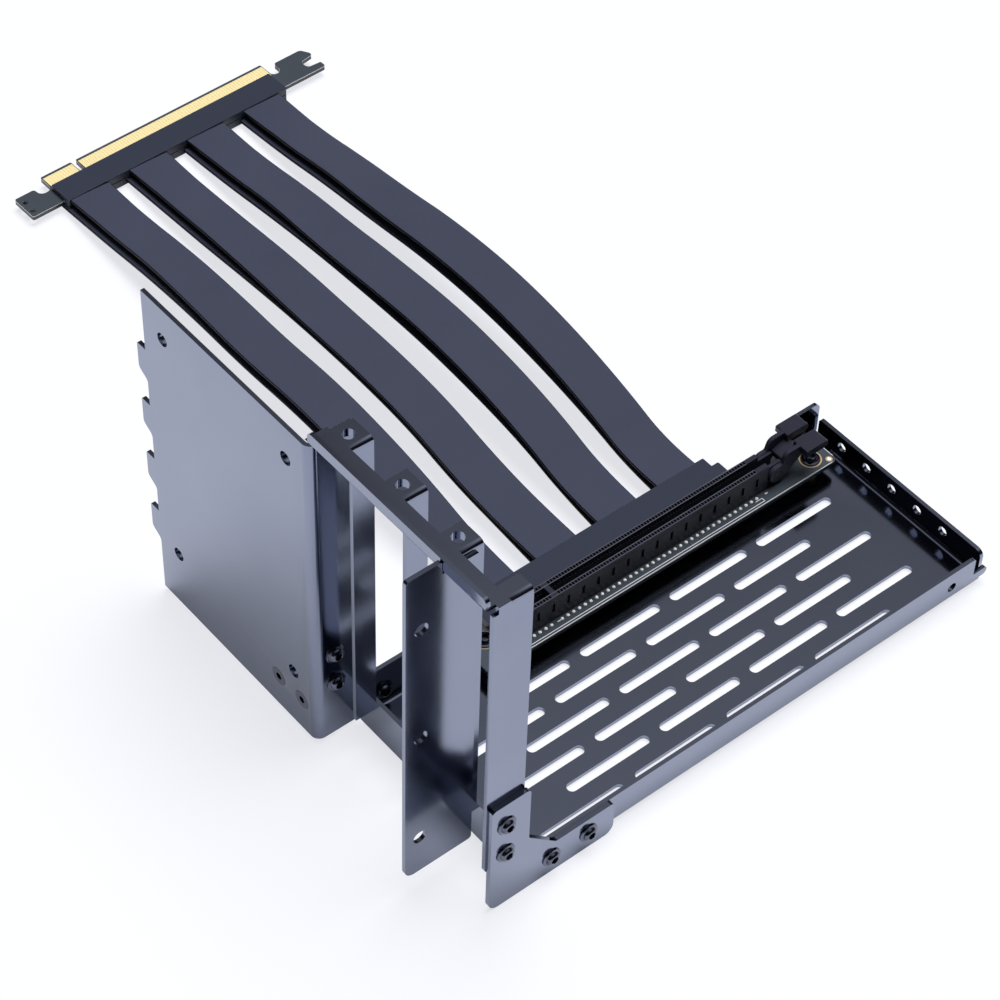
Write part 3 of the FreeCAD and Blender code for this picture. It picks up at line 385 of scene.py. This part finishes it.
def rolled_edges(node, width, material):
    """A copy of the node's mesh with merged corners, flat faces and a rolled edge."""
    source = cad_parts[node].data
    bm = bmesh.new()
    bm.from_mesh(source)
    bmesh.ops.remove_doubles(bm, verts=bm.verts, dist=0.000002)
    bmesh.ops.dissolve_limit(
        bm, angle_limit=math.radians(1), verts=bm.verts, edges=bm.edges,
        use_dissolve_boundaries=False
    )
    mesh = mesh_of(node + "_coated", bm)
    mesh.shade_smooth()
    mesh.set_sharp_from_angle(angle=math.radians(28))
    piece = add_object(node + "_coated", mesh, material)
    bevel = piece.modifiers.new("rolled_edge", "BEVEL")
    bevel.width = width
    bevel.segments = 2
    bevel.limit_method = "ANGLE"
    bevel.angle_limit = math.radians(40)
    bevel.harden_normals = True
    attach(piece, "slot_latch" if node == "slot_latch" else "mount")
    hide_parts(node)
    return piece


for node in ("tray", "slot_frame", "rear_cover", "flange_plate", "front_gusset", "rear_gusset"):
    piece = rolled_edges(node, STEEL_ROLL, black_coat)


# Screws: cold-formed black steel button heads with a flange and a hexagon socket, which hold
# the gussets and the riser board, and two sunk heads that hold the rear cover to the rear
# gusset's foot. Their black oxide is duller than the coat.
black_oxide = finish_of(
    "black_oxide", ((0.10, 0.11, 0.15), (0.14, 0.15, 0.20)), 1.0, (0.16, 0.26), 5000, 0.000003
)
# each ring, from the socket's rim over the dome to the shank, is a radius and a height above
# the head's seat
SCREW_RINGS = (
    (0.00118, 0.00160), (0.00150, 0.00152), (0.00182, 0.00126), (0.00200, 0.00086),
    (0.00205, 0.00052), (0.00214, 0.00044), (0.00272, 0.00040), (0.00285, 0.00028),
    (0.00285, 0.00000), (0.00148, 0.00000),
)
SOCKET_HALF = 0.0010
SOCKET_CENTRE = 0.0004
SOCKET_FLOOR = 0.00060
SOCKET_RIM = 0.00150
THREAD_CREST = 0.00148
THREAD_ROOT = 0.00125
THREAD_PITCH = 0.0002
THREAD_TURNS = 4


def ring_onward(bm, edges, radius, height, flats):
    """The next ring of the head: with flats its points lie on the socket's hexagon."""
    grown = bmesh.ops.extrude_edge_only(bm, edges=edges)["geom"]
    for vertex in [item for item in grown if isinstance(item, bmesh.types.BMVert)]:
        angle = math.atan2(vertex.co.y, vertex.co.x)
        reach = radius
        if flats:
            reach = radius / math.cos((angle % (math.pi / 3)) - math.pi / 6)
        vertex.co = (reach * math.cos(angle), reach * math.sin(angle), height)
    return [item for item in grown if isinstance(item, bmesh.types.BMEdge)]


def button_screw(grip):
    """One screw, its head's seat at z 0 and its thread below."""
    bm = bmesh.new()
    bmesh.ops.create_circle(bm, cap_ends=True, radius=SOCKET_CENTRE, segments=24)
    bmesh.ops.translate(bm, verts=bm.verts, vec=(0, 0, SOCKET_FLOOR))
    edges = list(bm.edges)
    edges = ring_onward(bm, edges, SOCKET_HALF, SOCKET_FLOOR, True)
    edges = ring_onward(bm, edges, SOCKET_HALF, SOCKET_RIM, True)
    for radius, height in SCREW_RINGS:
        edges = ring_onward(bm, edges, radius, height, False)
    start = -grip + THREAD_TURNS * THREAD_PITCH
    edges = ring_onward(bm, edges, THREAD_CREST, start, False)
    for turn in range(THREAD_TURNS):
        crest = start - THREAD_PITCH * (turn + 1)
        edges = ring_onward(bm, edges, THREAD_ROOT, crest + THREAD_PITCH / 2, False)
        edges = ring_onward(bm, edges, THREAD_CREST, crest, False)
    bmesh.ops.contextual_create(bm, geom=edges)
    bmesh.ops.recalc_face_normals(bm, faces=bm.faces)
    return bm


def screw_set(name, node, places, turn, grip):
    """The same screw at each place, turned so that its head points the right way."""
    whole = bmesh.new()
    for spot, place in enumerate(places):
        one = button_screw(grip)
        clocked = Matrix.Rotation(math.radians(19 + 37 * spot), 4, "Z")
        placed = Matrix.Translation(place) @ turn @ clocked
        bmesh.ops.transform(one, matrix=placed, verts=one.verts)
        copy = mesh_of(name + "_one", one)
        whole.from_mesh(copy)
        bpy.data.meshes.remove(copy)
    mesh = mesh_of(name, whole)
    mesh.shade_smooth()
    mesh.set_sharp_from_angle(angle=math.radians(38))
    piece = add_object(name, mesh, black_oxide)
    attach(piece, "mount")
    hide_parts(node)


GUSSET_SCREWS = ((-0.08865, 0.0210), (-0.08865, 0.0322), (-0.07345, 0.0063), (-0.06135, 0.0063))
FRONT_SEAT = -0.03535
REAR_SEAT = 0.03265
GUSSET_GRIP = 0.0035
BOARD_SCREWS = ((-0.04255, 0.02915), (0.07045, 0.02405))
BOARD_GRIP = 0.0034
BOARD_TOP = 0.0066
facing_front = Matrix.Rotation(math.radians(90), 4, "X")
screw_set(
    "front_button_screws", "front_gusset_screws",
    [(x, FRONT_SEAT, z) for x, z in GUSSET_SCREWS], facing_front, GUSSET_GRIP
)
screw_set(
    "rear_button_screws", "rear_gusset_screws",
    [(x, REAR_SEAT, z) for x, z in GUSSET_SCREWS], facing_front, GUSSET_GRIP
)
screw_set(
    "riser_screws", "board_screws",
    [(x, y, BOARD_TOP) for x, y in BOARD_SCREWS], Matrix.Identity(4), BOARD_GRIP
)


def dress(node, material):
    """The node keeps its drawn shape and takes this finish."""
    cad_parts[node].data.materials.clear()
    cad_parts[node].data.materials.append(material)


dress("cover_screws", black_oxide)


# Boards: glass fibre under a blue-black solder mask, the riser board on two turned brass
# standoffs. The card slot's pins come through it in a row of bright solder points.
mask = finish_of(
    "solder_mask", ((0.046, 0.056, 0.070), (0.058, 0.070, 0.086)), 0.0, (0.22, 0.30), 900, 0.000006
)
BOARD_FACES = {"riser_board": (0.0050, BOARD_TOP), "edge_board": (0.0018, 0.0034)}
MASK_THICK = 0.00005
EDGE_HIGHLIGHT_DEPTH = 0.00021        # the painted highlight line's middle below the upper face, and half its height
EDGE_HIGHLIGHT_HALF = 0.00018


def board_finish(node):
    """The mask on the two faces, dark cut glass fibre between them, and a painted highlight just
    under the upper face, for the light the top edge catches, all told apart by height."""
    material = mask.copy()
    material.name = node + "_laminate"
    nodes = material.node_tree.nodes
    links = material.node_tree.links
    shader = nodes["Principled BSDF"]
    colour = shader.inputs["Base Color"].links[0].from_socket
    where = nodes.new("ShaderNodeTexCoord")
    split = nodes.new("ShaderNodeSeparateXYZ")
    low, high = BOARD_FACES[node]
    core = nodes.new("ShaderNodeMath")
    core.operation = "COMPARE"
    core.inputs[1].default_value = (low + high) / 2
    core.inputs[2].default_value = (high - low) / 2 - MASK_THICK
    # painted highlight: a pale band on the cut edge just under the upper face, for the light that
    # the board's top edge catches
    edge_highlight = nodes.new("ShaderNodeMath")
    edge_highlight.operation = "COMPARE"
    edge_highlight.inputs[1].default_value = high - EDGE_HIGHLIGHT_DEPTH
    edge_highlight.inputs[2].default_value = EDGE_HIGHLIGHT_HALF
    cut = nodes.new("ShaderNodeMix")
    cut.data_type = "RGBA"
    cut.inputs["B"].default_value = (0.020, 0.024, 0.028, 1)
    line = nodes.new("ShaderNodeMix")
    line.data_type = "RGBA"
    line.inputs["B"].default_value = (0.62, 0.62, 0.64, 1)
    links.new(where.outputs["Object"], split.inputs["Vector"])
    links.new(split.outputs["Z"], core.inputs[0])
    links.new(split.outputs["Z"], edge_highlight.inputs[0])
    links.new(core.outputs[0], cut.inputs["Factor"])
    links.new(colour, cut.inputs["A"])
    links.new(edge_highlight.outputs[0], line.inputs["Factor"])
    links.new(cut.outputs["Result"], line.inputs["A"])
    links.new(line.outputs["Result"], shader.inputs["Base Color"])
    return material


for node in BOARD_FACES:
    dress(node, board_finish(node))
brass = finish_of(
    "turned_brass", ((0.72, 0.52, 0.20), (0.82, 0.62, 0.28)), 1.0, (0.25, 0.35), 3000, 0.000005
)
dress("board_standoffs", brass)
solder = finish_of(
    "bright_solder", ((0.96, 0.95, 0.91), (0.98, 0.98, 0.97)), 0.0, (0.30, 0.45), 3000, 0.00001
)
SOLDER_RADIUS = 0.00052
bm = bmesh.new()
pin_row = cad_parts["slot_pins"].data
spots = sorted({round(vertex.co.x, 4) for vertex in pin_row.vertices})
row_y = sum(vertex.co.y for vertex in pin_row.vertices) / len(pin_row.vertices)
for left, right in zip(spots[::2], spots[1::2]):
    dome = bmesh.ops.create_icosphere(bm, subdivisions=2, radius=SOLDER_RADIUS)["verts"]
    bmesh.ops.scale(bm, verts=dome, vec=(1, 1, 0.8))
    bmesh.ops.translate(bm, verts=dome, vec=((left + right) / 2, row_y, BOARD_TOP))
mesh = mesh_of("solder_points", bm)
mesh.shade_smooth()
points = add_object("solder_points", mesh, solder)
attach(points, "mount")
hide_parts("slot_pins")
# one pale ink for the board's print and for the painted highlight along its upper edges
print_and_highlight_ink = finish_of(
    "print_and_highlight_ink_material", ((0.62, 0.63, 0.66), (0.74, 0.75, 0.78)), 0.0, (0.50, 0.60), 4000, 0.000004
)
plating = finish_of(
    "pad_plating", ((0.80, 0.58, 0.30), (0.90, 0.70, 0.42)), 0.6, (0.28, 0.38), 4000, 0.000003
)
PRINT_DEPTH = 0.00003


def flat_bars(name, bars, material):
    """Flat bars on the board, of print or of painted highlight: each is its lowest and highest
    corner.
    """
    bm = bmesh.new()
    for x_low, y_low, x_high, y_high in bars:
        sized = Matrix.Diagonal((x_high - x_low, y_high - y_low, PRINT_DEPTH, 1))
        centre = ((x_low + x_high) / 2, (y_low + y_high) / 2, BOARD_TOP + PRINT_DEPTH / 2)
        bmesh.ops.create_cube(bm, size=1, matrix=Matrix.Translation(centre) @ sized)
    piece = add_object(name, mesh_of(name, bm), material)
    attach(piece, "mount")


flat_bars("board_print", (
    (-0.04800, 0.02015, 0.04985, 0.02035),
    (0.04965, 0.02035, 0.04985, 0.02150),
    (0.04735, 0.02130, 0.04965, 0.02150),
    (-0.02320, 0.02190, -0.02180, 0.02225),
    (0.05150, 0.02190, 0.05250, 0.02225),
), print_and_highlight_ink)
# painted highlight: pale bars along the board's upper edges, for the light that these edges catch
flat_bars("painted_edge_highlights", (
    (-0.04700, 0.01937, 0.07470, 0.01955),
    (0.07625, 0.02120, 0.07643, 0.03200),
), print_and_highlight_ink)


def pad_ring(name, centre, inner, outer):
    """A plated ring around a hole in the board."""
    bm = bmesh.new()
    rim = bmesh.ops.create_circle(bm, cap_ends=False, radius=inner, segments=40)["verts"]
    edges = list(bm.edges)
    for radius, height in ((outer, 0), (outer, PRINT_DEPTH), (inner, PRINT_DEPTH)):
        grown = bmesh.ops.extrude_edge_only(bm, edges=edges)["geom"]
        edges = [item for item in grown if isinstance(item, bmesh.types.BMEdge)]
        for vertex in [item for item in grown if isinstance(item, bmesh.types.BMVert)]:
            flat = Vector((vertex.co.x, vertex.co.y, 0)).normalized() * radius
            vertex.co = (flat.x, flat.y, height)
    first = [edge for edge in bm.edges if all(vertex in rim for vertex in edge.verts)]
    bmesh.ops.bridge_loops(bm, edges=edges + first)
    bmesh.ops.recalc_face_normals(bm, faces=bm.faces)
    bmesh.ops.translate(bm, verts=bm.verts, vec=(*centre, BOARD_TOP))
    piece = add_object(name, mesh_of(name, bm), plating)
    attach(piece, "mount")


PEG = (0.07465, 0.02085)
PEG_RADIUS = 0.00064
pad_ring("screw_pad_left", BOARD_SCREWS[0], 0.0017, 0.0031)
pad_ring("screw_pad_right", BOARD_SCREWS[1], 0.0017, 0.0033)
pad_ring("peg_pad", PEG, 0.00062, 0.00100)
bm = bmesh.new()
bmesh.ops.create_uvsphere(bm, u_segments=20, v_segments=10, radius=PEG_RADIUS)
bmesh.ops.scale(bm, verts=bm.verts, vec=(1, 1, 0.25))
bmesh.ops.translate(bm, verts=bm.verts, vec=(*PEG, BOARD_TOP))
mesh = mesh_of("peg_solder", bm)
mesh.shade_smooth()
peg = add_object("peg_solder", mesh, solder)
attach(peg, "mount")


# Card slot: a long black moulding, open along its top, with a notch for every contact and a
# key between them. Its latch is a separate moulding that turns on the neck's pivot.
slot_plastic = finish_of(
    "slot_plastic", ((0.020, 0.021, 0.034), (0.029, 0.031, 0.047)), 0.0, (0.34, 0.44), 1400,
    0.000012
)
slot_plastic.node_tree.nodes["Principled BSDF"].inputs["Specular IOR Level"].default_value = 0.3
for node, width in (("slot_housing", 0.00008), ("slot_latch", 0.00028)):
    piece = rolled_edges(node, width, slot_plastic)
# painted sheen: lighter strips run along both sides of each row of notches, for the light that the
# housing's top edges catch
rail_painted_sheen = finish_of(
    "rail_painted_sheen", ((0.070, 0.072, 0.090), (0.095, 0.097, 0.118)), 0.0, (0.24, 0.32), 1400,
    0.000006
)
SLOT_MIDDLE = 0.0263
SLOT_TOP = 0.0157
RAIL_LENGTH = 0.0838
RAIL_MIDDLE = 0.0069
RAIL_PROUD = 0.00002
# each rail is how far from the slot's middle it begins and ends, and how deep it reaches
SLOT_RAILS = ((0.00140, 0.00166, 0.00030), (0.00266, 0.00288, 0.00006))
bm = bmesh.new()
for side in (-1, 1):
    for out_from, out_to, depth in SLOT_RAILS:
        sized = Matrix.Diagonal((RAIL_LENGTH, out_to - out_from, RAIL_PROUD + depth, 1))
        rail_y = SLOT_MIDDLE + side * (out_from + out_to) / 2
        centre = (RAIL_MIDDLE, rail_y, SLOT_TOP + (RAIL_PROUD - depth) / 2)
        bmesh.ops.create_cube(bm, size=1, matrix=Matrix.Translation(centre) @ sized)
rails = add_object("slot_rails", mesh_of("slot_rails", bm), rail_painted_sheen)
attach(rails, "mount")


# Covers: blue-grey mouldings, matte from a spark-eroded mould, that clamp the ribbons to the
# riser board and to the far edge connector.
overmould = finish_of(
    "overmould", ((0.027, 0.032, 0.052), (0.036, 0.042, 0.064)), 0.0, (0.48, 0.58), 2600, 0.00003
)
COVER_ROLL = 0.00025
for node in ("riser_cover_top", "riser_cover_bottom", "edge_cover_top", "edge_cover_bottom"):
    piece = rolled_edges(node, COVER_ROLL, overmould)


# Edge contacts: gold-plated fingers on both faces of the far board, one millimetre apart.
gold = finish_of(
    "plated_gold", ((0.96, 0.80, 0.40), (1.0, 0.87, 0.50)), 0.15, (0.30, 0.40), 4000, 0.000003
)
dress("edge_fingers", gold)
